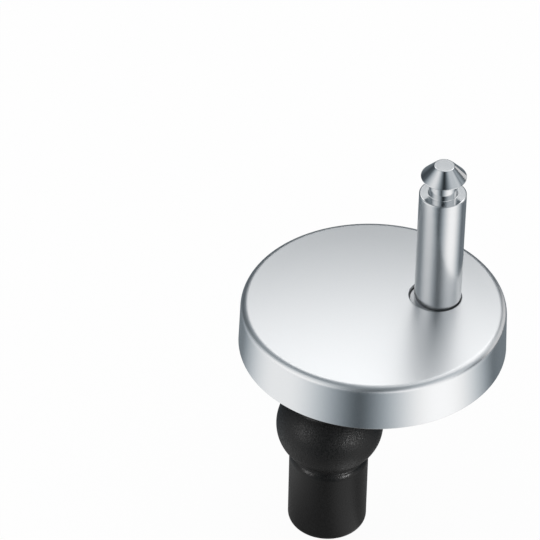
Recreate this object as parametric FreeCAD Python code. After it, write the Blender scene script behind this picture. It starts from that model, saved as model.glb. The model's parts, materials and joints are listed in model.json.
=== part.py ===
# Pintle post of a toilet seat hinge, fixed from above by an expanding rubber plug.
# Millimetres, +Z up. The origin is on the plug's axis, in the plane of the pan's top face.
# +X points from the plug's axis, past the middle of the round cap, to the hinge pin.
import FreeCAD, Part
import math
import os
from FreeCAD import Vector

# Eccentric layout: the plug's axis is at x = 0
CAP_X = 8.36            # middle of the round cap, pad and base plate
PIN_X = 21.61           # axis of the hinge pin
HOLE_X = PIN_X - 0.45   # middle of the pin's hole in the cap

# Cap, pressed from sheet, standing just clear of the pan
CAP_R = 27.5
CAP_TOP_R = 27.14
CAP_FOOT_Z = 0.2
CAP_TOP_Z = 10.3
CAP_WALL = 0.8
CAP_EDGE_FILLET = 1.5
CAP_HOLE_R = 5.35
CAP_HOLE_CHAMFER = 0.15

# Pad and cast base plate
PAD_R = 25.6
PAD_T = 1.5
PAD_HOLE_R = 11.4
PLATE_R = 26.2
PLATE_TOP_R = 25.9
PLATE_TOP_Z = CAP_TOP_Z - CAP_WALL
PLATE_FLOOR_Z = 4.0
PLATE_RIM_R = 24.2
PLATE_RIM_CHAMFER = 1.0
RIB_T = 1.6
RIB_TOP_Z = 7.5
RIB_COUNT = 12
RIB_RING_R = 16.2
SEAT_R = 9.5            # round seat for the washer, on the plug's axis
SEAT_Z = 5.0
BOSS_R = 6.8            # boss that carries the pin
BOSS_Z = 8.6
BOSS_CHAMFER = 0.8
LOCATOR_R = 5.15        # collar on the boss that stands in the cap's hole and centres it
LOCATOR_Z = CAP_TOP_Z - 0.3

# Hinge pin, turned
PIN_R = 4.8
PIN_FOOT_R = 4.7        # its foot tapers a little where it stands inside the cap's hole
PIN_SHAFT_Z = CAP_TOP_Z + 0.1
PIN_SHOULDER_Z = CAP_TOP_Z + 26.8
PIN_EDGE_BREAK = 0.25
PIN_NECK_R = 2.9
PIN_HEAD_R = 4.65
PIN_HEAD_Z = PIN_SHOULDER_Z + 4.2
PIN_HEAD_BREAK = 0.2     # the head's lower edge is broken by a small cone
PIN_TIP_R = 2.05
PIN_TIP_Z = PIN_SHOULDER_Z + 6.95
SPIGOT_R = 3.4
SPIGOT_Z = 4.6

# Screw that holds the pin from below (M4, countersunk)
PIN_SCREW_R = 2.0
PIN_SCREW_HEAD_R = 4.0
PIN_SCREW_TIP_Z = 15.0
PIN_SCREW_HOLE_R = 2.2
PIN_TAP_R = 2.05
PIN_TAP_Z = 16.5

# Fixing screw (M6 by 50, pan head) and its washer
SCREW_R = 3.0
SCREW_LENGTH = 50.0
SCREW_HEAD_R = 5.6
SCREW_HEAD_H = 2.9
SCREW_HEAD_FILLET = 1.6
SCREW_TIP_CHAMFER = 0.8
RECESS_SPAN = 6.0
RECESS_WIDTH = 1.3
RECESS_DEPTH = 1.9
WASHER_R = 7.0
WASHER_HOLE_R = 3.2
WASHER_T = 1.3
SCREW_HOLE_R = 3.3

# Rubber plug
COLLAR_R = 11.0
PLUG_NECK_R = 8.0
BALL_R = 11.17
BALL_ARC_R = 9.0        # its section is an arc, centred a little off the axis
BALL_Z = -20.8
CREASE_Z = -28.3
TAIL_R = 8.3
TAIL_SHOULDER = 1.0
TAIL_Z = -47.0
TAIL_FILLET = 1.7

# Nut in the plug's tail
NUT_FLATS = 10.0
NUT_TOP_Z = -35.0
NUT_FLANGE_R = 6.6
NUT_FLANGE_T = 1.6
NUT_FOOT_Z = -46.6
NUT_BORE_R = 3.05

FIT_ROOM = 0.05         # gap round the nut, the spigot and the pin screw's head

UP = Vector(0, 0, 1)


def cylinder(x, radius, low, high):
    """Upright cylinder on the axis at x."""
    return Part.makeCylinder(radius, high - low, Vector(x, 0, low), UP)


def cone(x, low_radius, high_radius, low, high):
    """Upright cone frustum on the axis at x."""
    return Part.makeCone(low_radius, high_radius, high - low, Vector(x, 0, low), UP)


def turned(x, outline):
    """Solid of revolution from a closed outline of edges drawn in the XZ plane at x = 0."""
    face = Part.Face(Part.Wire(Part.__sortEdges__(outline)))
    solid = face.revolve(Vector(0, 0, 0), UP, 360)
    solid.translate(Vector(x, 0, 0))
    return solid


def lines(points):
    """Straight edges through (r, z) points."""
    corners = [Vector(r, 0, z) for r, z in points]
    return [Part.makeLine(a, b) for a, b in zip(corners, corners[1:])]


def circle_edges(shape, z, radius):
    """Circular edges of one radius at one height."""
    found = []
    for edge in shape.Edges:
        curve = edge.Curve
        if isinstance(curve, Part.Circle):
            if abs(curve.Center.z - z) < 1e-4 and abs(curve.Radius - radius) < 1e-4:
                found.append(edge)
    return found


def hexagon(flats, low, high):
    """Upright hexagonal prism on the plug's axis, measured across its flats."""
    corner_r = flats / math.sqrt(3)
    corners = []
    for i in range(7):
        angle = math.radians(60 * i)
        corners.append(Vector(corner_r * math.cos(angle), corner_r * math.sin(angle), low))
    return Part.Face(Part.makePolygon(corners)).extrude(UP * (high - low))


def cover_cap():
    """Thin drafted cup with a rounded top edge and an off-centre hole."""
    shell = cone(CAP_X, CAP_R, CAP_TOP_R, CAP_FOOT_Z, CAP_TOP_Z)
    shell = shell.makeFillet(CAP_EDGE_FILLET, circle_edges(shell, CAP_TOP_Z, CAP_TOP_R))
    inside_top = CAP_TOP_Z - CAP_WALL
    inside = cone(CAP_X, CAP_R - CAP_WALL, CAP_TOP_R - CAP_WALL, CAP_FOOT_Z, inside_top)
    inside = inside.makeChamfer(
        CAP_EDGE_FILLET - CAP_WALL, circle_edges(inside, inside_top, CAP_TOP_R - CAP_WALL)
    )
    cap = shell.cut(inside).cut(cylinder(HOLE_X, CAP_HOLE_R, inside_top - 1, CAP_TOP_Z + 1))
    return cap.makeChamfer(CAP_HOLE_CHAMFER, circle_edges(cap, CAP_TOP_Z, CAP_HOLE_R))


def base_pad():
    """Flat round pad with a hole on the plug's axis for the plug's collar."""
    return cylinder(CAP_X, PAD_R, 0, PAD_T).cut(cylinder(0, PAD_HOLE_R, -1, PAD_T + 1))


def plate_ribs():
    """Radial ribs and one ring rib of the base plate, about the cap's middle."""
    ring = cylinder(CAP_X, RIB_RING_R + RIB_T / 2, PAD_T, RIB_TOP_Z)
    ribs = ring.cut(cylinder(CAP_X, RIB_RING_R - RIB_T / 2, PAD_T, RIB_TOP_Z))
    middle = Vector(CAP_X, 0, 0)
    for i in range(RIB_COUNT):
        rib = Part.makeBox(
            PLATE_RIM_R + 1, RIB_T, RIB_TOP_Z - PAD_T, Vector(CAP_X, -RIB_T / 2, PAD_T)
        )
        rib.rotate(middle, UP, 360 * i / RIB_COUNT)
        ribs = ribs.fuse(rib)
    return ribs


def pin_screw_outline(head_r, shank_r, top):
    """Closed half section of a countersunk screw, or of the room that it needs."""
    return lines(
        [
            (0, PAD_T),
            (head_r, PAD_T),
            (shank_r, PAD_T + head_r - shank_r),
            (shank_r, top),
            (0, top),
            (0, PAD_T),
        ]
    )


def base_plate():
    """Cast plate: floor, rim, ribs, washer seat and pin boss with its collar, and their holes."""
    blank = cone(CAP_X, PLATE_R, PLATE_TOP_R, PAD_T, PLATE_TOP_Z)
    blank = blank.makeChamfer(PLATE_RIM_CHAMFER, circle_edges(blank, PLATE_TOP_Z, PLATE_TOP_R))
    plate = blank.cut(cylinder(CAP_X, PLATE_RIM_R, PLATE_FLOOR_Z, PLATE_TOP_Z + 1))
    plate = plate.fuse(plate_ribs())
    plate = plate.fuse(cylinder(0, SEAT_R, PAD_T, SEAT_Z))
    plate = plate.cut(cylinder(0, SEAT_R, SEAT_Z, PLATE_TOP_Z + 1))
    boss = cylinder(PIN_X, BOSS_R, PAD_T, BOSS_Z)
    boss = boss.makeChamfer(BOSS_CHAMFER, circle_edges(boss, BOSS_Z, BOSS_R))
    plate = plate.fuse(boss).fuse(cylinder(HOLE_X, LOCATOR_R, PAD_T, LOCATOR_Z))
    plate = plate.cut(cylinder(0, SCREW_HOLE_R, 0, PLATE_TOP_Z))
    plate = plate.cut(cylinder(PIN_X, SPIGOT_R + FIT_ROOM, SPIGOT_Z, LOCATOR_Z))
    room_r = PIN_SCREW_HEAD_R + FIT_ROOM
    room = turned(PIN_X, pin_screw_outline(room_r, PIN_SCREW_HOLE_R, SPIGOT_Z))
    return plate.cut(room).removeSplitter()


def hinge_pin():
    """Turned pin: spigot, shaft, groove and cone-shaped head, tapped from below.
    Its shaft stands on the base plate's collar."""
    outline = lines(
        [
            (0, SPIGOT_Z),
            (SPIGOT_R, SPIGOT_Z),
            (SPIGOT_R, LOCATOR_Z),
            (PIN_FOOT_R, LOCATOR_Z),
            (PIN_R, PIN_SHAFT_Z),
            (PIN_R, PIN_SHOULDER_Z - PIN_EDGE_BREAK),
            (PIN_R - PIN_EDGE_BREAK, PIN_SHOULDER_Z),
            (PIN_NECK_R, PIN_SHOULDER_Z),
            (PIN_NECK_R, PIN_HEAD_Z - PIN_HEAD_BREAK),
            (PIN_HEAD_R - PIN_HEAD_BREAK, PIN_HEAD_Z - PIN_HEAD_BREAK),
            (PIN_HEAD_R, PIN_HEAD_Z),
            (PIN_TIP_R, PIN_TIP_Z),
            (0, PIN_TIP_Z),
            (0, SPIGOT_Z),
        ]
    )
    return turned(PIN_X, outline).cut(cylinder(PIN_X, PIN_TAP_R, 0, PIN_TAP_Z))


def cross_recess(x, foot_z, direction):
    """Four-way driver recess that widens from its foot in one direction."""
    slots = []
    for turn in (0, 90):
        half_w = RECESS_WIDTH / 2
        half_s = RECESS_SPAN / 2
        outline = lines(
            [
                (-half_s / 2, 0),
                (half_s / 2, 0),
                (half_s, direction * RECESS_DEPTH),
                (-half_s, direction * RECESS_DEPTH),
                (-half_s / 2, 0),
            ]
        )
        slot = Part.Face(Part.Wire(outline)).extrude(Vector(0, RECESS_WIDTH, 0))
        slot.translate(Vector(0, -half_w, 0))
        slot.rotate(Vector(0, 0, 0), UP, turn)
        slot.translate(Vector(x, 0, foot_z))
        slots.append(slot)
    return slots[0].fuse(slots[1])


def pin_screw():
    """Countersunk screw, flush with the plate's underside."""
    screw = turned(PIN_X, pin_screw_outline(PIN_SCREW_HEAD_R, PIN_SCREW_R, PIN_SCREW_TIP_Z))
    return screw.cut(cross_recess(PIN_X, PAD_T + RECESS_DEPTH, -1))


def screw_washer():
    """Flat washer on the plate's seat."""
    top = SEAT_Z + WASHER_T
    return cylinder(0, WASHER_R, SEAT_Z, top).cut(cylinder(0, WASHER_HOLE_R, SEAT_Z, top))


def fixing_screw():
    """Pan-head screw with a driver recess, its head on the washer."""
    seat = SEAT_Z + WASHER_T
    top = seat + SCREW_HEAD_H
    head = cylinder(0, SCREW_HEAD_R, seat, top)
    head = head.makeFillet(SCREW_HEAD_FILLET, circle_edges(head, top, SCREW_HEAD_R))
    tip = seat - SCREW_LENGTH
    shank = cylinder(0, SCREW_R, tip, seat)
    shank = shank.makeChamfer(SCREW_TIP_CHAMFER, circle_edges(shank, tip, SCREW_R))
    return head.fuse(shank).cut(cross_recess(0, top - RECESS_DEPTH, 1)).removeSplitter()


def ball_point(z):
    """Point of the ball's section at one height."""
    rise = z - BALL_Z
    return Vector(BALL_R - BALL_ARC_R + math.sqrt(BALL_ARC_R**2 - rise**2), 0, z)


def plug_outline():
    """Half section of the rubber: collar, neck, ball, crease, tail and bottom."""
    neck_reach = PLUG_NECK_R - BALL_R + BALL_ARC_R
    neck_z = BALL_Z + math.sqrt(BALL_ARC_R**2 - neck_reach**2)
    crease = ball_point(CREASE_Z)
    ball = Part.Arc(Vector(PLUG_NECK_R, 0, neck_z), Vector(BALL_R, 0, BALL_Z), crease)
    slant = 1 - math.sqrt(0.5)
    foot = Part.Arc(
        Vector(TAIL_R, 0, TAIL_Z + TAIL_FILLET),
        Vector(TAIL_R - TAIL_FILLET * slant, 0, TAIL_Z + TAIL_FILLET * slant),
        Vector(TAIL_R - TAIL_FILLET, 0, TAIL_Z),
    )
    upper = [(0, PAD_T), (COLLAR_R, PAD_T), (COLLAR_R, 0), (PLUG_NECK_R, 0), (PLUG_NECK_R, neck_z)]
    tail = [(crease.x, CREASE_Z), (TAIL_R, CREASE_Z - TAIL_SHOULDER), (TAIL_R, TAIL_Z + TAIL_FILLET)]
    bottom = [(TAIL_R - TAIL_FILLET, TAIL_Z), (0, TAIL_Z), (0, PAD_T)]
    return lines(upper) + [ball.toShape()] + lines(tail) + [foot.toShape()] + lines(bottom)


def expansion_plug():
    """Rubber plug with the screw's bore and the pocket for its nut."""
    plug = turned(0, plug_outline())
    plug = plug.cut(cylinder(0, SCREW_HOLE_R, TAIL_Z - 1, PAD_T + 1))
    plug = plug.cut(hexagon(NUT_FLATS + 2 * FIT_ROOM, TAIL_Z - 1, NUT_TOP_Z + FIT_ROOM))
    flange_top = NUT_FOOT_Z + NUT_FLANGE_T + FIT_ROOM
    return plug.cut(cylinder(0, NUT_FLANGE_R + FIT_ROOM, TAIL_Z - 1, flange_top))


def plug_nut():
    """Hexagonal nut with a round flange at its foot."""
    nut = hexagon(NUT_FLATS, NUT_FOOT_Z, NUT_TOP_Z)
    nut = nut.fuse(cylinder(0, NUT_FLANGE_R, NUT_FOOT_Z, NUT_FOOT_Z + NUT_FLANGE_T))
    return nut.cut(cylinder(0, NUT_BORE_R, NUT_FOOT_Z - 1, NUT_TOP_Z + 1)).removeSplitter()


PIECES = (
    cover_cap,
    hinge_pin,
    pin_screw,
    base_plate,
    base_pad,
    fixing_screw,
    screw_washer,
    expansion_plug,
    plug_nut,
)

os.makedirs("parts", exist_ok=True)
for piece in PIECES:
    shape = piece()
    solid = shape.Solids[0]
    print(piece.__name__, len(shape.Solids), solid.isValid(), round(solid.Volume, 1))
    solid.exportStep("parts/" + piece.__name__ + ".step")
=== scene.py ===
import json
import math

import bpy
import numpy as np
from mathutils import Matrix, Vector


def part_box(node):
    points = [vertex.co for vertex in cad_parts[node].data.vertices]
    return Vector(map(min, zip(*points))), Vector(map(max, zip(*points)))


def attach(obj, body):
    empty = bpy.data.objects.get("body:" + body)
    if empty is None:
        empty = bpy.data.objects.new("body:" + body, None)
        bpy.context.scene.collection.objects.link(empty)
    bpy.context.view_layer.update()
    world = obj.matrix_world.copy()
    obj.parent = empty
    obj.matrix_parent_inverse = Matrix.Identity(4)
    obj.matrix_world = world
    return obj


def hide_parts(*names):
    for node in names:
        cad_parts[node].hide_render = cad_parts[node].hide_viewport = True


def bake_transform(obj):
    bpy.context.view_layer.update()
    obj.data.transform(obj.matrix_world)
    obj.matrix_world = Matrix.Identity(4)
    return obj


# Looks of a toilet seat hinge post: steel cap and pin above, rubber plug with its nut below.
# Shapes are worked out in millimetres and put into the meshes in metres.
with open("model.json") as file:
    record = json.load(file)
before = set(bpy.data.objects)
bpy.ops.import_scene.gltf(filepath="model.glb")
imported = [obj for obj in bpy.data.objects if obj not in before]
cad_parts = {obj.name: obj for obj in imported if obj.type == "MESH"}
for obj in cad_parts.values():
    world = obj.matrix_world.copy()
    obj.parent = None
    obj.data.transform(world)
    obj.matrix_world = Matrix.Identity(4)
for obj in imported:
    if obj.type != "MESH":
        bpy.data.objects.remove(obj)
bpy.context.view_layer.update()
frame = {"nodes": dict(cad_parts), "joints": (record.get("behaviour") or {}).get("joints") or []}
MM = 0.001
NODES = frame["nodes"]


def box_mm(node):
    """Lowest and highest corner of a solid, in millimetres."""
    low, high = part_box(node)
    return np.array(low) / MM, np.array(high) / MM


CAP_LOW, CAP_HIGH = box_mm("cover_cap")
PIN_LOW, PIN_HIGH = box_mm("hinge_pin")
PLUG_LOW, PLUG_HIGH = box_mm("expansion_plug")
SCREW_LOW, SCREW_HIGH = box_mm("fixing_screw")
WASHER_LOW, WASHER_HIGH = box_mm("screw_washer")
NUT_LOW, NUT_HIGH = box_mm("plug_nut")
PAD_LOW, PAD_HIGH = box_mm("base_pad")
NUT_TRAVEL = min(j["range_m"][0] for j in frame["joints"] if j["name"] == "nut_lift") / MM

# Cap
CAP_X = (CAP_LOW[0] + CAP_HIGH[0]) / 2
CAP_R = (CAP_HIGH[0] - CAP_LOW[0]) / 2
CAP_DRAFT = 0.36            # the wall leans in by this much over its height
CAP_WALL = 0.8
CAP_EDGE = 1.5              # rounding of the top edge
CAP_FOOT_EDGE = 0.18
CAP_CROWN = 0.675           # the pressed top's middle stands this much above its edge
CAP_HOLE_R = 5.35
CAP_HOLE_EDGE = 0.22
CAP_HOLE_SHIFT = 0.45       # the hole sits this much nearer to the cap's middle than the pin
CAP_COLUMNS = 224
CAP_FACE_ROWS = 12          # circles between the hole and the wall, above and below

# Pin
PIN_X = (PIN_LOW[0] + PIN_HIGH[0]) / 2
PIN_R = (PIN_HIGH[0] - PIN_LOW[0]) / 2
PIN_TIP_Z = PIN_HIGH[2]
PIN_TIP_R = 2.05
PIN_TIP_EDGE = 0.2
PIN_HEAD_Z = PIN_TIP_Z - 2.75
PIN_HEAD_R = 4.65
PIN_HEAD_EDGE = 0.12
PIN_HEAD_RIM = 0.2          # height of the head's rim, which leans in by as much
PIN_HEAD_UNDER_Z = PIN_HEAD_Z - PIN_HEAD_RIM
PIN_NECK_R = 2.9
PIN_NECK_FILLET = 0.15
PIN_SHOULDER_Z = PIN_TIP_Z - 6.95
PIN_SHOULDER_EDGE = 0.25
PIN_POLISH = (0.3, 0.1)     # the polish sets in and is full this far below the shoulder
PIN_DULL_Z = 16.0           # the shaft is dullest up to this height
PIN_CLEAN_Z = 28.0          # and has its plain gloss from this height
PIN_SEAT_Z = CAP_HIGH[2] - 0.3
PIN_SEAT_EDGE = 0.08
PIN_SPIGOT_R = 3.4
PIN_SPIGOT_FILLET = 0.1
PIN_SPIGOT_EDGE = 0.3
PIN_TAP_R = 2.05
PIN_TAP_Z = 16.5
PIN_COLUMNS = 144

# Fixing screw, nut and their thread
PITCH = 1.0
THREAD_ROWS = 7             # rows of points to a turn
THREAD_DEPTH = 0.5
THREAD_SLOPE = 1.35         # steepness of the thread's flanks, which leaves flats at both ends
THREAD_FLAT = 0.17
THREAD_START = 0.6          # the thread starts and has its full depth this far below the head
THREAD_FULL = 2.0
SCREW_R = 2.98
SCREW_SEAT_Z = WASHER_HIGH[2]
SCREW_SHANK = 0.5           # plain length below the head
SCREW_HEAD_R = (SCREW_HIGH[0] - SCREW_LOW[0]) / 2
SCREW_HEAD_FILLET = 1.6
SCREW_EDGE = 0.15
SCREW_POINT = 0.6           # the crests draw in by this much over SCREW_POINT_RUN
SCREW_POINT_RUN = 1.3
SCREW_POINT_FROM = 0.9      # starting this far above the tip
SCREW_TIP_R = 2.2
SCREW_TIP_GAP = 0.05
RECESS_SPAN = 6.0
RECESS_WIDTH = 1.3
RECESS_DEPTH = 1.9
RECESS_LAND = 0.4           # flat of the head round the recess
RECESS_END_POINTS = 6       # points along the end of an arm of the recess, and along its side
RECESS_SIDE_POINTS = 9
NUT_FLATS = 10.0
NUT_FACE = 0.15             # the round face on top is this much inside the flats
NUT_CHAMFER_ROWS = 6
NUT_CHAMFER_SLOPE = 0.6
NUT_FLANGE_R = (NUT_HIGH[0] - NUT_LOW[0]) / 2
NUT_FLANGE_T = 1.6
NUT_FLANGE_EDGE = 0.3
NUT_FLANGE_STEP = 0.02
NUT_BORE_R = 3.05
NUT_MOUTH = 0.4             # width and least height of the bore's flared mouths
NUT_THREAD_DEPTH = 0.25
NUT_COLUMNS = 144

# Washer and pad
WASHER_R = (WASHER_HIGH[0] - WASHER_LOW[0]) / 2
WASHER_HOLE_R = 3.2
WASHER_TOP_EDGE = 0.25
WASHER_FOOT_EDGE = 0.12
WASHER_HOLE_EDGE = 0.2
WASHER_COLUMNS = 120
PAD_R = (PAD_HIGH[0] - PAD_LOW[0]) / 2
PAD_HOLE_R = 11.4
PAD_EDGE = 0.3
PAD_HOLE_EDGE = 0.2
PAD_SEAM = 1.0              # the outlines of rim and hole run on this far over the flat faces

# Rubber plug
COLLAR_R = 11.0
COLLAR_EDGE = 0.3
PLUG_NECK_R = 8.0
BALL_R = (PLUG_HIGH[0] - PLUG_LOW[0]) / 2
BALL_ARC_R = 9.0
BALL_Z = -20.8
BALL_ROWS = 48
CREASE_R = 7.45
TAIL_R = 8.3
TAIL_SHOULDER = 1.35        # height of the sloping shoulder between crease and tail
TAIL_SHOULDER_EDGE = 2.4
TAIL_EDGE = 1.7
BORE_R = 3.3
BORE_SEAM_R = BORE_R + 1.0  # the outline starts and ends here, on top of the collar
POCKET_R = 5.85
POCKET_EDGE = 0.2
POCKET_PLAY = 0.05          # room above the nut and its flange
FLANGE_POCKET_R = 6.65
PLUG_COLUMNS = 160
SHINE_FADE = 0.4

# Finishes
MASK_SPAN = (0.3, 0.7)      # most of a noise mask lies between these
METAL_BUMP = 0.5
RUBBER_BUMP = 0.6
RUBBER_SPECULAR = 0.22
RUBBER_DETAIL = 4.0
SPECKLE_RELIEF = 0.35       # share of the relief that is left where there is no speckle
PLATE_TURNED_Z = CAP_HIGH[2] - 0.6      # the plate's collar is turned smoother from here up, and painted lighter there as painted light in the shaded gap round the pin
PLATE_TURNED_FADE = 0.1
# painted light: a lighter tone for the collar's top, which brightens the shaded gap round the pin's
# foot
PLATE_TOP_PAINTED_LIGHT_TONE = (0.6, 0.61, 0.62)

# What is added to a roughness where its finish changes
CAP_TOP_ROUGH = 0.13
PIN_POLISH_ROUGH = -0.08
PIN_DULL_ROUGH = 0.06
PLATE_TURNED_ROUGH = -0.12
SPECKLE_ROUGH = (-0.1, 0.14)
SHINE_ROUGH = -0.14

# Camera, fitted to the photograph: 540 pixels square, from the cap's foot
PHOTO_SIZE = 540
CAM_DISTANCE = 0.8          # in metres
CAM_ELEVATION = math.radians(39.82)
CAM_AZIMUTH = math.radians(-12.77)
CAM_ROLL = math.radians(-2.35)
CAM_FOCAL_PX = 3894.0
CAM_TARGET_PX = (372.25, 341.29)
SENSOR_MM = 36.0

# Stage, with lengths in millimetres, and angles in degrees from the camera's side or the level
FLOOR_Z = PLUG_LOW[2] + NUT_TRAVEL - 0.3
FLOOR_R = 4000.0
FLOOR_ROWS = 11
FLOOR_COLUMNS = 64
FLOOR_TONE = 0.9
FLOOR_WHITE = 0.94          # share of plain white in what camera and mirrors see of the floor
WORLD_LIGHT = 0.95
TENT_R = 1500.0
TENT_ROWS = 91
TENT_COLUMNS = 240
TENT_LIFT = 0.1             # the tent's floor lies this much above the pale one
TENT_TRACE = 0.02           # least glow anywhere
TENT_DIM_TINT = (0.28, 0.12, 0)     # share of red, green and blue that its darkest cloth lacks
PANEL_ELEVATIONS = (-10, 15, 38)       # where the side panels' values are given
LEFT_PANEL = {
    "centre": (-72, -62, -58),
    "half": (41, 38, 33),
    "soft": (34, 20, 30),
    "level": (0.92, 1.08, 0.88),
}
RIGHT_PANEL = {
    "centre": (54.5, 38, 70),
    "half": (37.5, 32, 41),
    "soft": (34, 16, 27),
    "level": (1.1, 1.05, 0.64),
}
LEFT_FLANK = {"centre": -122, "half": 20, "soft": 14, "low": 10, "high": 48, "level": 0.36}
RIGHT_FLANK = {"centre": 114, "half": 16, "soft": 12, "low": 4, "high": 44, "level": 1.0}
BACK_LEVEL = 2.2            # glow of the back panel's brightest line
BACK_DIM = 0.7              # share of it that is lost above that line
BACK_LIFT = 6.0             # its foot is this much higher at BACK_LIFT_AT from its middle
BACK_LIFT_AT = 70.0
FILL_LEVEL = 0.2
FILL_DIM = 0.7              # share of the fill that is lost in its faint band
NEAR_LEVEL = 0.25           # glow of the floor close to the plug, and what its patch adds
NEAR_PATCH = 0.62
CROWN_LEVEL = 0.24          # glow overhead, and what its right side adds
CROWN_PATCH = 0.76
CARD_R = 150.0
CARD_SPAN = (92, 142)
CARD_HEIGHTS = (-12, 62)    # of its lower and its upper edge, in millimetres
CARD_COLUMNS = 25
CARD_GLOW = 0.7
LAMP_SIZE = 0.17            # in metres, as its distance
LAMP_DISTANCE = 0.5
LEFT_LAMP = {"azimuth": -57, "elevation": 9, "energy": 0.55}
RIGHT_LAMP = {"azimuth": 47, "elevation": -5, "energy": 2.0}


# Outlines, grids and meshes
def rise(value, low, high):
    """Smooth step from nought at low to one at high."""
    t = np.clip((value - low) / (high - low), 0, 1)
    return t * t * (3 - 2 * t)


def window(value, centre, half, soft):
    """One inside a stretch of angles, nought outside, with a smooth fall of twice soft at its ends.
    Angles are in degrees and wrap round the circle."""
    away = np.abs((value - centre + 180) % 360 - 180)
    return rise(half + soft - away, 0, 2 * soft)


def rounded(corners, steps=8, guard=0.06):
    """Outline through corners (r, z, radius).
    A corner with a radius becomes the arc of that radius that touches both its runs, in equal turns.
    Each run has a point close to either end, so that smooth shading stays even along it."""
    corners = np.array(corners, float)
    place, radius = corners[:, :2], corners[:, 2]
    pieces = [place[:1]]
    for i in range(1, len(corners) - 1):
        back = place[i - 1] - place[i]
        ahead = place[i + 1] - place[i]
        back, ahead = back / np.linalg.norm(back), ahead / np.linalg.norm(ahead)
        half = math.acos(np.clip(back @ ahead, -1, 1)) / 2
        reach = radius[i] / math.tan(half)
        middle = (back + ahead) / np.linalg.norm(back + ahead)
        centre = place[i] + middle * radius[i] / math.sin(half)
        start = place[i] + back * reach - centre
        end = place[i] + ahead * reach - centre
        share = np.linspace(0, 1, steps + 1)[:, None]
        turn = math.pi - 2 * half
        arc = (np.sin((1 - share) * turn) * start + np.sin(share * turn) * end) / math.sin(turn)
        pieces.append(place[i : i + 1] + back * (reach + guard))
        pieces.append(centre + arc)
        pieces.append(place[i : i + 1] + ahead * (reach + guard))
    pieces.append(place[-1:])
    return np.concatenate(pieces)


def turned(outline, axis_x, columns=160):
    """Grid of a turned shape: each (r, z) point of the outline goes round the upright axis at
    axis_x, as x = axis_x + r cos a, y = r sin a."""
    angle = np.linspace(0, 2 * math.pi, columns, endpoint=False)
    r, z = outline[:, :1], outline[:, 1:]
    x = axis_x + r * np.cos(angle)
    y = r * np.sin(angle)
    return np.stack([x, y, np.broadcast_to(z, x.shape)], -1)


def grid_faces(rows, columns, loop):
    """Quads over a grid that closes round its columns, and along its rows too where loop is set."""
    index = np.arange(rows * columns).reshape(rows, columns)
    after = np.roll(index, -1, axis=0) if loop else index[1:]
    before = index if loop else index[:-1]
    quads = [before, after, np.roll(after, -1, axis=1), np.roll(before, -1, axis=1)]
    return np.stack(quads, -1).reshape(-1, 4)


def mesh_object(name, points, faces):
    """New object at the origin with a mesh of points in millimetres."""
    mesh = bpy.data.meshes.new(name)
    mesh.from_pydata(points * MM, [], faces)
    made = bpy.data.objects.new(name, mesh)
    bpy.context.scene.collection.objects.link(made)
    return made


def skin(name, grid, loop=False, crisp=None):
    """Closed smooth mesh over a grid in millimetres.
    Rows run from the top outwards and down. Without loop, the first and last rows are poles:
    they shrink to one point each, with a fan of triangles. Edges that turn by more than crisp
    degrees stay sharp."""
    columns = grid.shape[1]
    if loop:
        points = grid.reshape(-1, 3)
        faces = grid_faces(len(grid), columns, True).tolist()
    else:
        rings = grid[1:-1]
        points = np.concatenate([rings.reshape(-1, 3), grid[0, :1], grid[-1, :1]])
        top, bottom = len(points) - 2, len(points) - 1
        first = np.arange(columns)
        last = first + (len(rings) - 1) * columns
        top_fan = np.stack([np.full(columns, top), first, np.roll(first, -1)], -1)
        bottom_fan = np.stack([np.full(columns, bottom), np.roll(last, -1), last], -1)
        faces = grid_faces(len(rings), columns, False).tolist()
        faces += top_fan.tolist() + bottom_fan.tolist()
    piece = mesh_object(name, points, faces)
    mesh = piece.data
    mesh.polygons.foreach_set("use_smooth", np.ones(len(mesh.polygons), bool))
    if crisp:
        mesh.set_sharp_from_angle(angle=math.radians(crisp))
    mesh.update()
    return piece


def places(piece):
    """Place of each point of a piece, in millimetres."""
    flat = np.empty(len(piece.data.vertices) * 3)
    piece.data.vertices.foreach_get("co", flat)
    return flat.reshape(-1, 3) / MM


def share_layer(piece, name, values):
    """Keeps a number between 0 and 1 at each point of a piece, for its material to read."""
    layer = piece.data.attributes.new(name, "FLOAT", "POINT")
    layer.data.foreach_set("value", values.astype(np.float32))


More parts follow.
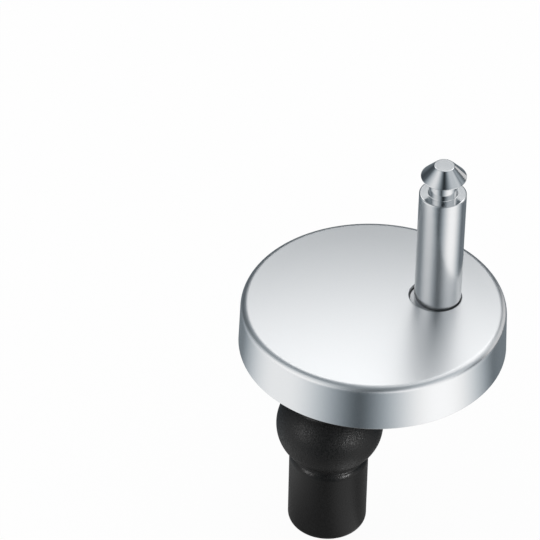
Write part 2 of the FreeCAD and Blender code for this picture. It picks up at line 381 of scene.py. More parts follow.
# Pieces
def cap_shell():
    """Cap: circles that run out over the top, round its edge, down the wall, up inside and back
    through the hole. Each circle has its own middle: the cap's axis, the hole's, or in between.
    The crown lifts the top by one less the square of the distance from the cap's axis, and runs
    out at the wall. The point attribute top_share is one on the top and nought below its edge."""
    foot, top = CAP_LOW[2], CAP_HIGH[2]
    under = top - CAP_WALL
    flat_r = CAP_R - 4 * CAP_EDGE
    wall = rounded(
        [
            (flat_r, top, 0),
            (CAP_R - CAP_DRAFT, top, CAP_EDGE),
            (CAP_R, foot, CAP_FOOT_EDGE),
            (CAP_R - CAP_WALL, foot, CAP_FOOT_EDGE),
            (CAP_R - CAP_WALL - CAP_DRAFT, under, CAP_EDGE - CAP_WALL),
            (flat_r, under, 0),
        ],
        steps=10,
    )
    hole = rounded(
        [
            (CAP_HOLE_R + CAP_WALL, under, 0),
            (CAP_HOLE_R, under, CAP_HOLE_EDGE / 2),
            (CAP_HOLE_R, top, CAP_HOLE_EDGE),
            (CAP_HOLE_R + CAP_WALL, top, 0),
        ],
        steps=6,
    )
    wall = turned(wall, CAP_X, CAP_COLUMNS)
    hole = turned(hole, PIN_X - CAP_HOLE_SHIFT, CAP_COLUMNS)
    share = np.linspace(0, 1, CAP_FACE_ROWS + 2)[1:-1, None, None]
    under_face = wall[-1] + share * (hole[0] - wall[-1])
    top_face = hole[-1] + share * (wall[0] - hole[-1])
    grid = np.concatenate([wall, under_face, hole, top_face])
    out = np.hypot(grid[..., 0] - CAP_X, grid[..., 1]) / (CAP_R - CAP_DRAFT)
    height = (grid[..., 2] - foot) / (top - foot)
    grid[..., 2] += CAP_CROWN * (1 - np.clip(out, 0, 1) ** 2) * height
    cap = skin("cap_shell", grid, loop=True)
    share_layer(cap, "top_share", rise(places(cap)[:, 2], top - CAP_EDGE, top))
    return cap


def grooved_pin():
    """Pin: a turned outline of flat tip, cone, rim, neck, shoulder, shaft, foot and tapped spigot.
    The point attribute polish is one from the shoulder upwards."""
    outline = rounded(
        [
            (0, PIN_TIP_Z, 0),
            (PIN_TIP_R, PIN_TIP_Z, PIN_TIP_EDGE),
            (PIN_HEAD_R, PIN_HEAD_Z, PIN_HEAD_EDGE),
            (PIN_HEAD_R - PIN_HEAD_RIM, PIN_HEAD_UNDER_Z, PIN_HEAD_EDGE / 2),
            (PIN_NECK_R, PIN_HEAD_UNDER_Z, PIN_NECK_FILLET),
            (PIN_NECK_R, PIN_SHOULDER_Z, PIN_NECK_FILLET),
            (PIN_R, PIN_SHOULDER_Z, PIN_SHOULDER_EDGE),
            (PIN_R, PIN_SEAT_Z, PIN_SEAT_EDGE),
            (PIN_SPIGOT_R, PIN_SEAT_Z, PIN_SPIGOT_FILLET),
            (PIN_SPIGOT_R, PIN_LOW[2], PIN_SPIGOT_EDGE),
            (PIN_TAP_R, PIN_LOW[2], PIN_SPIGOT_EDGE),
            (PIN_TAP_R, PIN_TAP_Z, PIN_SPIGOT_EDGE),
            (0, PIN_TAP_Z, 0),
        ],
        steps=6,
        guard=0.03,
    )
    pin = skin("grooved_pin", turned(outline, PIN_X, PIN_COLUMNS))
    below = PIN_SHOULDER_Z - np.array(PIN_POLISH)
    share_layer(pin, "polish", rise(places(pin)[:, 2], *below))
    return pin


def rubber_plug():
    """Plug: a turned outline of collar, neck, swollen ball, crease, tail, nut pocket and bore.
    The ball's rows are spaced evenly round its arc, and the tail's shoulder is a short cone that
    rounds into the tail. The point attribute shine is one on the shoulder, which is rubbed smooth,
    and speckle is one from the ball upwards, where the mould was grainy."""
    top, foot = PLUG_HIGH[2], PLUG_LOW[2]
    flange_roof = NUT_LOW[2] + NUT_FLANGE_T + POCKET_PLAY
    pocket_roof = NUT_HIGH[2] + POCKET_PLAY
    neck_turn = math.acos((PLUG_NECK_R - BALL_R + BALL_ARC_R) / BALL_ARC_R)
    crease_turn = -math.acos((CREASE_R - BALL_R + BALL_ARC_R) / BALL_ARC_R)
    turn = np.linspace(neck_turn, crease_turn, BALL_ROWS)
    ball = np.stack(
        [BALL_R - BALL_ARC_R + BALL_ARC_R * np.cos(turn), BALL_Z + BALL_ARC_R * np.sin(turn)], -1
    )
    upper = rounded(
        [
            (BORE_SEAM_R, top, 0),
            (COLLAR_R, top, COLLAR_EDGE),
            (COLLAR_R, 0, COLLAR_EDGE),
            (PLUG_NECK_R, 0, COLLAR_EDGE),
            (PLUG_NECK_R, ball[0, 1], 0),
        ]
    )[:-1]
    crease_z = ball[-1, 1]
    tail = rounded(
        [
            (CREASE_R, crease_z, 0),
            (TAIL_R, crease_z - TAIL_SHOULDER, TAIL_SHOULDER_EDGE),
            (TAIL_R, foot, TAIL_EDGE),
            (FLANGE_POCKET_R, foot, POCKET_EDGE),
            (FLANGE_POCKET_R, flange_roof, POCKET_EDGE),
            (POCKET_R, flange_roof, POCKET_EDGE),
            (POCKET_R, pocket_roof, POCKET_EDGE),
            (BORE_R, pocket_roof, POCKET_EDGE),
            (BORE_R, top, COLLAR_EDGE),
            (BORE_SEAM_R, top, 0),
        ],
        steps=12,
    )[1:-1]
    outline = np.concatenate([upper, ball, tail])
    plug = skin("rubber_plug", turned(outline, 0, PLUG_COLUMNS), loop=True)
    z = places(plug)[:, 2]
    share_layer(plug, "shine", window(z, crease_z - TAIL_SHOULDER / 2, TAIL_SHOULDER, SHINE_FADE))
    share_layer(plug, "speckle", rise(z, crease_z - TAIL_SHOULDER, crease_z))
    return plug


def thread_share(angle, z):
    """Depth of a right-hand thread between 0 at its crest and 1 at its root: a triangle wave of
    height less turn, with flats at both ends."""
    phase = (z / PITCH - angle / (2 * math.pi)) % 1
    return np.clip(THREAD_SLOPE * np.abs(2 * phase - 1) - THREAD_FLAT, 0, 1)


def cross_outline(half_span):
    """Outline of the driver recess as complex numbers: four arms, each an end and two sides."""
    half = RECESS_WIDTH / 2
    a, b = complex(half_span, -half), complex(half_span, half)
    c, d = complex(half, half), complex(half, half_span)
    end = np.linspace(0, 1, RECESS_END_POINTS, endpoint=False)
    side = np.linspace(0, 1, RECESS_SIDE_POINTS, endpoint=False)
    arm = np.concatenate([a + (b - a) * end, b + (c - b) * side, c + (d - c) * side])
    return np.concatenate([arm * 1j**k for k in range(4)])


def fixing_screw():
    """Pan-head screw: rows go from the recess's foot up its flaring cross, out over the head, under
    it, and down the thread, whose radius is the crest's less the thread's depth there."""
    top, seat, tip = SCREW_HIGH[2], SCREW_SEAT_Z, SCREW_LOW[2]
    mouth = cross_outline(RECESS_SPAN / 2)
    recess_foot = cross_outline(RECESS_SPAN / 4)
    angle = np.angle(mouth)
    recess = [(0 * recess_foot, top - RECESS_DEPTH), (recess_foot, top - RECESS_DEPTH), (mouth, top)]
    head = rounded(
        [
            (RECESS_SPAN / 2 + RECESS_LAND, top, 0),
            (SCREW_HEAD_R, top, SCREW_HEAD_FILLET),
            (SCREW_HEAD_R, seat, SCREW_EDGE),
            (SCREW_R, seat, SCREW_EDGE),
            (SCREW_R, seat - SCREW_SHANK, 0),
        ]
    )
    z = np.arange(seat - THREAD_START, tip + SCREW_TIP_GAP, -PITCH / THREAD_ROWS)[:, None]
    depth = THREAD_DEPTH * thread_share(angle, z) * rise(seat - z, THREAD_START, THREAD_FULL)
    crest = SCREW_R - SCREW_POINT * rise(tip + SCREW_POINT_FROM - z, 0, SCREW_POINT_RUN)
    ring = np.exp(1j * angle)
    flat = np.concatenate(
        [
            np.stack([row for row, level in recess]),
            head[:, :1] * ring,
            np.minimum(SCREW_R - depth, crest) * ring,
            np.stack([SCREW_TIP_R * ring, 0 * ring]),
        ]
    )
    level = np.concatenate([[level for row, level in recess], head[:, 1], z[:, 0], [tip, tip]])
    grid = np.stack([flat.real, flat.imag, np.broadcast_to(level[:, None], flat.shape)], -1)
    return skin("threaded_screw", grid, crisp=40)


def flat_washer():
    """Washer: a turned ring with broken edges."""
    low, high = WASHER_LOW[2], WASHER_HIGH[2]
    middle = (WASHER_R + WASHER_HOLE_R) / 2
    outline = rounded(
        [
            (middle, high, 0),
            (WASHER_R, high, WASHER_TOP_EDGE),
            (WASHER_R, low, WASHER_FOOT_EDGE),
            (WASHER_HOLE_R, low, WASHER_FOOT_EDGE),
            (WASHER_HOLE_R, high, WASHER_HOLE_EDGE),
            (middle, high, 0),
        ],
        steps=5,
    )[:-1]
    return skin("flat_washer", turned(outline, 0, WASHER_COLUMNS), loop=True)


def round_pad():
    """Pad: circles out over the top and under the foot about the pad's axis, then up through the
    hole about the plug's axis."""
    low, high = PAD_LOW[2], PAD_HIGH[2]
    rim = rounded(
        [
            (PAD_R - PAD_SEAM, high, 0),
            (PAD_R, high, PAD_EDGE),
            (PAD_R, low, PAD_EDGE),
            (PAD_R - PAD_SEAM, low, 0),
        ]
    )
    hole = rounded(
        [
            (PAD_HOLE_R + PAD_SEAM, low, 0),
            (PAD_HOLE_R, low, PAD_HOLE_EDGE),
            (PAD_HOLE_R, high, PAD_HOLE_EDGE),
            (PAD_HOLE_R + PAD_SEAM, high, 0),
        ]
    )
    grid = np.concatenate([turned(rim, CAP_X), turned(hole, 0)])
    return skin("round_pad", grid, loop=True)


def flanged_nut():
    """Nut: each row is a radius by angle, the lesser of the hexagon and a round limit, so that the
    hexagon's corners run out into the chamfer on top. The bore's rows follow the thread."""
    low, high = NUT_LOW[2], NUT_HIGH[2]
    flange = low + NUT_FLANGE_T
    face_r = NUT_FLATS / 2 - NUT_FACE
    mouth_r = NUT_BORE_R + NUT_MOUTH
    angle = np.linspace(0, 2 * math.pi, NUT_COLUMNS, endpoint=False)
    hexagon = NUT_FLATS / 2 / np.cos((angle + math.pi / 6) % (math.pi / 3) - math.pi / 6)
    limit = np.linspace(face_r, NUT_FLATS / math.sqrt(3), NUT_CHAMFER_ROWS)
    chamfer = np.stack([limit, high - (limit - face_r) * NUT_CHAMFER_SLOPE], -1)
    upper = np.concatenate([[(mouth_r, high)], chamfer, [(limit[-1], flange + NUT_FLANGE_STEP)]])
    lower = rounded(
        [
            (face_r, flange, 0),
            (NUT_FLANGE_R, flange, NUT_FLANGE_EDGE),
            (NUT_FLANGE_R, low, NUT_FLANGE_EDGE),
            (mouth_r, low, 0),
        ],
        steps=5,
    )[1:]
    z = np.arange(low + NUT_MOUTH, high - NUT_MOUTH, PITCH / THREAD_ROWS)[:, None]
    bore = NUT_BORE_R + NUT_THREAD_DEPTH * thread_share(angle, z)
    radius = np.concatenate(
        [np.minimum(upper[:, :1], hexagon), lower[:, :1] + 0 * angle, bore]
    )
    level = np.concatenate([upper[:, 1], lower[:, 1], z[:, 0]])[:, None] + 0 * angle
    grid = np.stack([radius * np.cos(angle), radius * np.sin(angle), level], -1)
    return skin("flanged_nut", grid, loop=True, crisp=30)


# Shader nodes
def new_material(name):
    """Empty node material with its Principled shader."""
    material = bpy.data.materials.new(name)
    material.use_nodes = True
    return material, material.node_tree, material.node_tree.nodes["Principled BSDF"]


def add_node(tree, kind, inputs=None, **settings):
    """New node with its settings, and its inputs set to values or joined to sockets."""
    node = tree.nodes.new(kind)
    for key, value in settings.items():
        setattr(node, key, value)
    for key, value in (inputs or {}).items():
        if isinstance(value, bpy.types.NodeSocket):
            tree.links.new(value, node.inputs[key])
        else:
            node.inputs[key].default_value = value
    return node


def group_tree(name, sockets):
    """Shader node group with named number inputs and one Value output between 0 and 1."""
    tree = bpy.data.node_groups.new(name, "ShaderNodeTree")
    for socket, value in sockets.items():
        made = tree.interface.new_socket(socket, in_out="INPUT", socket_type="NodeSocketFloat")
        made.default_value = value
    tree.interface.new_socket("Value", in_out="OUTPUT", socket_type="NodeSocketFloat")
    return tree, tree.nodes.new("NodeGroupInput"), tree.nodes.new("NodeGroupOutput")


def grain_group():
    """Fine grain: layered noise on the piece's own coordinates, Scale features to the metre."""
    tree, given, result = group_tree("fine_grain", {"Scale": 4000.0, "Detail": 3.0})
    place = add_node(tree, "ShaderNodeTexCoord")
    noise = add_node(
        tree,
        "ShaderNodeTexNoise",
        {
            "Vector": place.outputs["Object"],
            "Scale": given.outputs["Scale"],
            "Detail": given.outputs["Detail"],
        },
    )
    tree.links.new(noise.outputs[0], result.inputs["Value"])
    return tree


def lathe_group():
    """Turning marks: noise that depends only on height and on distance from the axis at Axis X."""
    tree, given, result = group_tree("turning_marks", {"Axis X": 0.0, "Scale": 6000.0})
    place = add_node(tree, "ShaderNodeTexCoord")
    parts = add_node(tree, "ShaderNodeSeparateXYZ", {0: place.outputs["Object"]})
    across = add_node(
        tree,
        "ShaderNodeMath",
        {0: parts.outputs["X"], 1: given.outputs["Axis X"]},
        operation="SUBTRACT",
    )
    flat = add_node(
        tree, "ShaderNodeCombineXYZ", {"X": across.outputs[0], "Y": parts.outputs["Y"]}
    )
    radius = add_node(tree, "ShaderNodeVectorMath", {0: flat.outputs[0]}, operation="LENGTH")
    ring = add_node(
        tree,
        "ShaderNodeCombineXYZ",
        {"X": radius.outputs["Value"], "Y": parts.outputs["Z"]},
    )
    noise = add_node(
        tree,
        "ShaderNodeTexNoise",
        {"Vector": ring.outputs[0], "Scale": given.outputs["Scale"], "Detail": 2.0},
        noise_dimensions="2D",
    )
    tree.links.new(noise.outputs[0], result.inputs["Value"])
    return tree


GRAIN = grain_group()
LATHE = lathe_group()


def place_group(tree, group, inputs):
    """A group's node in a material, with its own values."""
    node = tree.nodes.new("ShaderNodeGroup")
    node.node_tree = group
    for key, value in inputs.items():
        node.inputs[key].default_value = value
    return node.outputs["Value"]


def between(tree, mask, low, high):
    """Number that goes from low to high as a noise mask goes over its span."""
    spread = add_node(
        tree,
        "ShaderNodeMapRange",
        {
            "Value": mask,
            "From Min": MASK_SPAN[0],
            "From Max": MASK_SPAN[1],
            "To Min": low,
            "To Max": high,
        },
    )
    return spread.outputs["Result"]


def tint(tree, mask, low, high):
    """Colour between two linear colours by a mask."""
    mix = add_node(tree, "ShaderNodeMix", {"Factor": mask}, data_type="RGBA")
    mix.inputs[6].default_value = (*low, 1)
    mix.inputs[7].default_value = (*high, 1)
    return mix.outputs[2]


def bumped(tree, shader, height, distance, strength):
    """Small relief on the shader's normal, with the distance in metres."""
    bump = add_node(
        tree, "ShaderNodeBump", {"Height": height, "Distance": distance, "Strength": strength}
    )
    tree.links.new(bump.outputs["Normal"], shader.inputs["Normal"])


def point_share(tree, attribute):
    """Number that share_layer keeps at each point of a piece."""
    return add_node(tree, "ShaderNodeAttribute", attribute_name=attribute).outputs["Fac"]


def height_share(tree, bare, full):
    """Number that goes from nought at the height bare to one at the height full, in millimetres."""
    place = add_node(tree, "ShaderNodeTexCoord")
    parts = add_node(tree, "ShaderNodeSeparateXYZ", {0: place.outputs["Object"]})
    share = add_node(
        tree,
        "ShaderNodeMapRange",
        {"Value": parts.outputs["Z"], "From Min": bare * MM, "From Max": full * MM},
    )
    return share.outputs["Result"]


def add_roughness(tree, share, change):
    """Adds change times a share to the roughness that a material has so far."""
    rough = tree.nodes["Principled BSDF"].inputs["Roughness"]
    total = add_node(
        tree,
        "ShaderNodeMath",
        {0: share, 1: change, 2: rough.links[0].from_socket},
        operation="MULTIPLY_ADD",
    )
    tree.links.new(total.outputs[0], rough)


# Materials
def metal(name, low, high, rough, relief, scale, axis_x=None):
    """Metal whose tone, gloss and relief follow fine grain or, where axis_x is given, turning marks
    round the upright axis there. The relief is in millimetres."""
    material, tree, shader = new_material(name)
    if axis_x is None:
        mask = place_group(tree, GRAIN, {"Scale": scale})
    else:
        mask = place_group(tree, LATHE, {"Axis X": axis_x * MM, "Scale": scale})
    shader.inputs["Metallic"].default_value = 1.0
    tree.links.new(tint(tree, mask, low, high), shader.inputs["Base Color"])
    tree.links.new(between(tree, mask, *rough), shader.inputs["Roughness"])
    bumped(tree, shader, mask, relief * MM, METAL_BUMP)
    return material


def satin_steel():
    """The cap's steel, with a duller finish on its top than on its wall."""
    material = metal(
        "satin_steel",
        low=(0.80, 0.81, 0.82),
        high=(0.86, 0.865, 0.87),
        rough=(0.19, 0.23),
        relief=0.002,
        scale=5000,
    )
    tree = material.node_tree
    add_roughness(tree, point_share(tree, "top_share"), CAP_TOP_ROUGH)
    return material


def bright_steel():
    """The pin's turned steel, polished from the shoulder upwards and a little dull at its foot."""
    material = metal(
        "bright_steel",
        low=(0.72, 0.73, 0.74),
        high=(0.82, 0.825, 0.83),
        rough=(0.15, 0.21),
        relief=0.006,
        scale=9000,
        axis_x=PIN_X,
    )
    tree = material.node_tree
    add_roughness(tree, point_share(tree, "polish"), PIN_POLISH_ROUGH)
    add_roughness(tree, height_share(tree, PIN_CLEAN_Z, PIN_DULL_Z), PIN_DULL_ROUGH)
    return material


def zinc_plate():
    """Bright zinc of the screws and the washer."""
    return metal(
        "zinc_plate",
        low=(0.58, 0.59, 0.62),
        high=(0.72, 0.73, 0.75),
        rough=(0.22, 0.36),
        relief=0.01,
        scale=3000,
    )


def cast_zinc():
    """The plate's matt casting, with the top of its collar turned smoother and painted lighter: a
    painted light that lifts the shade in the gap round the pin's foot.
    """
    material = metal(
        "cast_zinc",
        low=(0.44, 0.45, 0.46),
        high=(0.60, 0.61, 0.62),
        rough=(0.42, 0.58),
        relief=0.06,
        scale=2200,
    )
    tree = material.node_tree
    share = height_share(tree, PLATE_TURNED_Z - PLATE_TURNED_FADE, PLATE_TURNED_Z)
    tone = tree.nodes["Principled BSDF"].inputs["Base Color"]
    # Painted light: the collar's top is mixed to a lighter tone, which stands in for light in the
    # shaded gap round the pin.
    mix = add_node(tree, "ShaderNodeMix", {"Factor": share}, data_type="RGBA")
    tree.links.new(tone.links[0].from_socket, mix.inputs[6])
    mix.inputs[7].default_value = (*PLATE_TOP_PAINTED_LIGHT_TONE, 1)
    tree.links.new(mix.outputs[2], tone)
    add_roughness(tree, share, PLATE_TURNED_ROUGH)
    return material


def brass():
    """Plain turned brass of the nut."""
    return metal(
        "brass",
        low=(0.66, 0.48, 0.20),
        high=(0.80, 0.62, 0.32),
        rough=(0.2, 0.34),
        relief=0.006,
        scale=4000,
        axis_x=0.0,
    )


def rubber(name, low, high, rough, relief, scale):
    """Moulded rubber: near black, with a faint shine that a fine grain breaks up, more so where the
    point attribute speckle is one. It is smoother where shine is one."""
    material, tree, shader = new_material(name)
    shader.inputs["Specular IOR Level"].default_value = RUBBER_SPECULAR
    mask = place_group(tree, GRAIN, {"Scale": scale, "Detail": RUBBER_DETAIL})
    tree.links.new(tint(tree, mask, low, high), shader.inputs["Base Color"])
    tree.links.new(between(tree, mask, *rough), shader.inputs["Roughness"])
    speckle = point_share(tree, "speckle")
    add_roughness(tree, speckle, between(tree, mask, *SPECKLE_ROUGH))
    add_roughness(tree, point_share(tree, "shine"), SHINE_ROUGH)
    depth = add_node(tree, "ShaderNodeMapRange", {"Value": speckle, "To Min": SPECKLE_RELIEF})
    height = add_node(
        tree, "ShaderNodeMath", {0: mask, 1: depth.outputs["Result"]}, operation="MULTIPLY"
    )
    bumped(tree, shader, height.outputs[0], relief * MM, RUBBER_BUMP)
    return material


def plug_rubber():
    """Satin black rubber of the plug."""
    return rubber(
        "plug_rubber",
        low=(0.003, 0.003, 0.003),
        high=(0.008, 0.008, 0.008),
        rough=(0.3, 0.48),
        relief=0.14,
        scale=2600,
    )


def pad_rubber():
    """Matt dark rubber of the pad."""
    return rubber(
        "pad_rubber",
        low=(0.02, 0.02, 0.02),
        high=(0.045, 0.045, 0.045),
        rough=(0.7, 0.85),
        relief=0.14,
        scale=1800,
    )


# Assembly
def finish_piece(piece, material, body, slot, *nodes):
    """Gives a new piece its material and its body, and hides the solids that it stands for. Its slot
    is not used.
    """
    piece.data.materials.append(material)
    if body:
        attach(piece, body)
    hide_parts(*nodes)


ZINC_PLATE = zinc_plate()
finish_piece(cap_shell(), satin_steel(), "cover", "satin_steel", "cover_cap")
finish_piece(grooved_pin(), bright_steel(), "base", "bright_steel", "hinge_pin")
plug = rubber_plug()
finish_piece(plug, plug_rubber(), None, "plug_rubber", "expansion_plug")
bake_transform(plug)

finish_piece(fixing_screw(), ZINC_PLATE, "screw", "zinc_plate", "fixing_screw")
finish_piece(flat_washer(), ZINC_PLATE, "base", "zinc_plate", "screw_washer")
finish_piece(round_pad(), pad_rubber(), "base", "pad_rubber", "base_pad")
finish_piece(flanged_nut(), brass(), "nut", "brass", "plug_nut")

CAD_FINISH = {"pin_screw": ZINC_PLATE, "base_plate": cast_zinc()}
for node_name, material in CAD_FINISH.items():
    NODES[node_name].data.materials.clear()
    NODES[node_name].data.materials.append(material)


# Camera
def photo_camera():
    """Camera at the photograph's angle. It first looks straight at the cap's foot, then turns by
    the arc that brings that point to its place in the picture, and rolls about it."""
    sight = Vector((CAP_X, 0, CAP_LOW[2])) * MM
    out = Vector(
        (
            math.sin(CAM_AZIMUTH) * math.cos(CAM_ELEVATION),
            -math.cos(CAM_AZIMUTH) * math.cos(CAM_ELEVATION),
            math.sin(CAM_ELEVATION),
        )
    )
    right = Vector((math.cos(CAM_AZIMUTH), math.sin(CAM_AZIMUTH), 0))
    up = right.cross(-out)
    half = PHOTO_SIZE / 2
    aim = Vector(
        ((CAM_TARGET_PX[0] - half) / CAM_FOCAL_PX, (half - CAM_TARGET_PX[1]) / CAM_FOCAL_PX, 1)
    ).normalized()
    turn = Vector((0, 0, 1)).rotation_difference(aim).to_matrix()
    roll = Matrix.Rotation(CAM_ROLL, 3, aim)
    rows = roll @ turn @ Matrix((right, up, -out))
    data = bpy.data.cameras.new("photo_camera")
    data.sensor_width = SENSOR_MM
    data.lens = CAM_FOCAL_PX * SENSOR_MM / PHOTO_SIZE
    camera = bpy.data.objects.new("photo_camera", data)
    axes = Matrix((rows[0], rows[1], -rows[2])).transposed()
    camera.matrix_world = Matrix.Translation(sight + out * CAM_DISTANCE) @ axes.to_4x4()
    bpy.context.scene.collection.objects.link(camera)
    bpy.context.scene.camera = camera


# Light
def side_panel(azimuth, elevation, centre, half, soft, level):
    """Upright panel at one side: a soft window of angles whose middle, half width, soft edge and
    level run evenly between their values at the panel's elevations. It ends above and below."""
    centre, half, soft, level = (
        np.interp(elevation, PANEL_ELEVATIONS, row) for row in (centre, half, soft, level)
    )
    tall = window(elevation, centre=0, half=58, soft=12)
    return level * window(azimuth, centre, half, soft) * tall


def back_panel(azimuth, elevation):
    """Panel behind the part: it brightens upwards to its brightest line and dims slowly above it.
    Its foot starts higher by the square of the angle from the middle of the back."""
    aside = (azimuth % 360 - 180) / BACK_LIFT_AT
    wide = window(azimuth, centre=162, half=54, soft=35)
    lit = rise(elevation - BACK_LIFT * aside**2, low=34, high=46)
    return BACK_LEVEL * wide * lit * (1 - BACK_DIM * rise(elevation, low=46, high=62))


def back_fill(azimuth, elevation):
    """Faint fill behind the part, fainter in a level band just above the floor."""
    wide = window(azimuth, centre=180, half=75, soft=20)
    return FILL_LEVEL * wide * (1 - FILL_DIM * window(elevation, centre=9, half=12, soft=12))


def near_floor(azimuth, elevation):
    """Lit floor close to the plug, with a brighter patch in front of it on the right."""
    patch = window(azimuth, centre=28, half=30, soft=15)
    return (NEAR_LEVEL + NEAR_PATCH * patch) * (1 - rise(elevation, low=-56, high=-44))


def tent_crown(azimuth, elevation):
    """Dim cloth overhead, which gets bright towards the right."""
    patch = window(azimuth, centre=108, half=36, soft=45)
    return (CROWN_LEVEL + CROWN_PATCH * patch) * rise(elevation, low=48, high=66)


def flank(azimuth, elevation, centre, half, soft, low, high, level):
    """Narrow strip at a back corner, which brightens upwards and fades towards the crown."""
    strip = window(azimuth, centre, half, soft) * rise(elevation, low, high)
    return level * strip * (1 - rise(elevation, low=56, high=70))


def tent_glow(azimuth, elevation):
    """Brightness of the light tent by direction: the brightest of its parts there, plus a trace of
    light. It is dark in front, where the camera looks in."""
    parts = [
        side_panel(azimuth, elevation, **LEFT_PANEL),
        side_panel(azimuth, elevation, **RIGHT_PANEL),
        back_panel(azimuth, elevation),
        back_fill(azimuth, elevation),
        near_floor(azimuth, elevation),
        tent_crown(azimuth, elevation),
        flank(azimuth, elevation, **LEFT_FLANK),
        flank(azimuth, elevation, **RIGHT_FLANK),
    ]
    return TENT_TRACE + np.max(parts, axis=0)


def tent_colour(glow, elevation):
    """Cool grey in the tent's dim parts, white in its bright ones and close to the plug."""
    dim = np.clip(1 - glow, 0, 1) * rise(elevation, low=-54, high=-42)
    tones = [glow * (1 - lack * dim) for lack in TENT_DIM_TINT]
    return np.stack([*tones, np.ones_like(glow)], -1)


def hang_cloth(piece, colour):
    """Makes a piece of the stage glow by its colour at each point, for mirrors alone."""
    layer = piece.data.color_attributes.new("glow", "FLOAT_COLOR", "POINT")
    layer.data.foreach_set("color", colour.astype(np.float32).ravel())
    material = bpy.data.materials.new(piece.name + "_cloth")
    material.use_nodes = True
    tree = material.node_tree
    tree.nodes.clear()
    read = add_node(tree, "ShaderNodeAttribute", attribute_name="glow")
    shine = add_node(tree, "ShaderNodeEmission", {"Color": read.outputs["Color"]})
    add_node(tree, "ShaderNodeOutputMaterial", {"Surface": shine.outputs[0]})
    piece.data.materials.append(material)
    piece.visible_camera = False
    piece.visible_diffuse = False
    piece.visible_shadow = False
    piece.visible_transmission = False


def light_tent():
    """Tent round the object that only mirrors see: a dome, a short wall and a floor, as rows of
    circles about the cap's axis, with its glow kept as a colour at each point. The floor's rows
    get closer together towards the middle, by the square of their share."""
    dome = np.linspace(math.pi / 2, 0, TENT_ROWS)
    dome = TENT_R * np.stack([np.cos(dome), np.sin(dome)], -1)
    reach = TENT_R * np.linspace(1, 0, TENT_ROWS) ** 2
    foot = np.stack([reach, np.full_like(reach, FLOOR_Z + TENT_LIFT)], -1)
    tent = skin("light_tent", turned(np.concatenate([dome, foot]), CAP_X, TENT_COLUMNS))
    x, y, z = (places(tent) - (CAP_X, 0, 0)).T
    azimuth = np.degrees(np.arctan2(x, -y) - CAM_AZIMUTH)
    elevation = np.degrees(np.arctan2(z, np.hypot(x, y)))
    hang_cloth(tent, tent_colour(tent_glow(azimuth, elevation), elevation))


def rim_card():
    """Low bent card behind the part on its right, in which the cap's rim is mirrored: two rows of
    points on an arc about the cap's axis."""
    angle = CAM_AZIMUTH + np.radians(np.linspace(*CARD_SPAN, CARD_COLUMNS))
    x = CAP_X + CARD_R * np.sin(angle)
    y = -CARD_R * np.cos(angle)
    points = np.concatenate([np.stack([x, y, np.full_like(x, z)], -1) for z in CARD_HEIGHTS])
    first = np.arange(CARD_COLUMNS - 1)
    above = first + CARD_COLUMNS
    faces = np.stack([first, first + 1, above + 1, above], -1)
    card = mesh_object("rim_card", points, faces.tolist())
    hang_cloth(card, np.full((len(points), 4), CARD_GLOW))


def soft_lamp(name, lit_piece, azimuth, elevation, energy):
    """Square lamp that lights one piece alone, aimed at the ball. Its angles are in degrees."""
    turn = CAM_AZIMUTH + math.radians(azimuth)
    lift = math.radians(elevation)
    out = Vector((math.sin(turn) * math.cos(lift), -math.cos(turn) * math.cos(lift), math.sin(lift)))
    data = bpy.data.lights.new(name, "AREA")
    data.size = LAMP_SIZE
    data.energy = energy
    lamp = bpy.data.objects.new(name, data)
    lamp.matrix_world = out.to_track_quat("Z", "Y").to_matrix().to_4x4()
    lamp.location = Vector((0, 0, BALL_Z * MM)) + out * LAMP_DISTANCE
    lamp.visible_camera = False
    bpy.context.scene.collection.objects.link(lamp)
    receivers = bpy.data.collections.new(name + "_receivers")
    receivers.objects.link(lit_piece)
    lamp.light_linking.receiver_collection = receivers


def seen_directly(tree):
    """One for rays from the camera and for mirror and glass rays, nought for light rays."""
    path = add_node(tree, "ShaderNodeLightPath")
    first = add_node(
        tree,
        "ShaderNodeMath",
        {0: path.outputs["Is Camera Ray"], 1: path.outputs["Is Glossy Ray"]},
        operation="MAXIMUM",
    )
    both = add_node(
        tree,
        "ShaderNodeMath",
        {0: first.outputs[0], 1: path.outputs["Is Transmission Ray"]},
        operation="MAXIMUM",
    )
    return both.outputs[0]


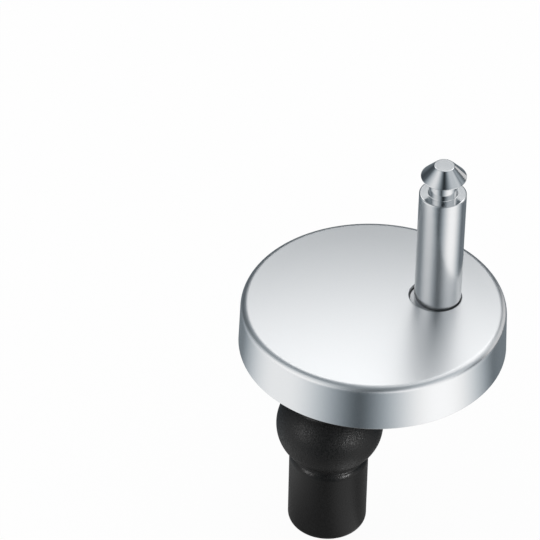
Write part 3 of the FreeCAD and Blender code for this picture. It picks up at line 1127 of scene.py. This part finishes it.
def floor_paint():
    """White for camera and mirrors with a faint shadow in it, and seen through from below."""
    material, tree, shader = new_material("pale_floor")
    shader.inputs["Base Color"].default_value = (FLOOR_TONE, FLOOR_TONE, FLOOR_TONE, 1)
    shader.inputs["Roughness"].default_value = 1.0
    white = add_node(tree, "ShaderNodeEmission", {"Color": (1, 1, 1, 1), "Strength": 1.0})
    share = add_node(
        tree, "ShaderNodeMath", {0: seen_directly(tree), 1: FLOOR_WHITE}, operation="MULTIPLY"
    )
    mix = add_node(
        tree,
        "ShaderNodeMixShader",
        {0: share.outputs[0], 1: shader.outputs[0], 2: white.outputs[0]},
    )
    side = add_node(tree, "ShaderNodeNewGeometry")
    clear = add_node(tree, "ShaderNodeBsdfTransparent")
    both = add_node(
        tree,
        "ShaderNodeMixShader",
        {0: side.outputs["Backfacing"], 1: mix.outputs[0], 2: clear.outputs[0]},
    )
    tree.links.new(both.outputs[0], tree.nodes["Material Output"].inputs["Surface"])
    return material


def pale_floor():
    """Round white floor below the plug's lowest reach: a grid of rings whose radii grow by the
    square of their share, round a flat middle. It shows as the background."""
    reach = FLOOR_R * (np.arange(1, FLOOR_ROWS + 1) / FLOOR_ROWS) ** 2
    grid = turned(np.stack([reach, np.full(FLOOR_ROWS, FLOOR_Z)], -1), 0, FLOOR_COLUMNS)
    faces = grid_faces(FLOOR_ROWS, FLOOR_COLUMNS, False).tolist() + [list(range(FLOOR_COLUMNS))]
    floor = mesh_object("pale_floor", grid.reshape(-1, 3), faces)
    floor.data.materials.append(floor_paint())


def white_world():
    """Even studio light from all round, seen as white."""
    world = bpy.data.worlds.new("white_world")
    world.use_nodes = True
    bpy.context.scene.world = world
    tree = world.node_tree
    level = add_node(
        tree,
        "ShaderNodeMapRange",
        {"Value": seen_directly(tree), "To Min": WORLD_LIGHT, "To Max": 1.0},
    )
    ground = tree.nodes["Background"]
    ground.inputs["Color"].default_value = (1, 1, 1, 1)
    tree.links.new(level.outputs["Result"], ground.inputs["Strength"])


photo_camera()
light_tent()
rim_card()
soft_lamp("left_lamp", plug, **LEFT_LAMP)
soft_lamp("right_lamp", plug, **RIGHT_LAMP)
pale_floor()
white_world()
bpy.context.scene.view_settings.view_transform = "Standard"
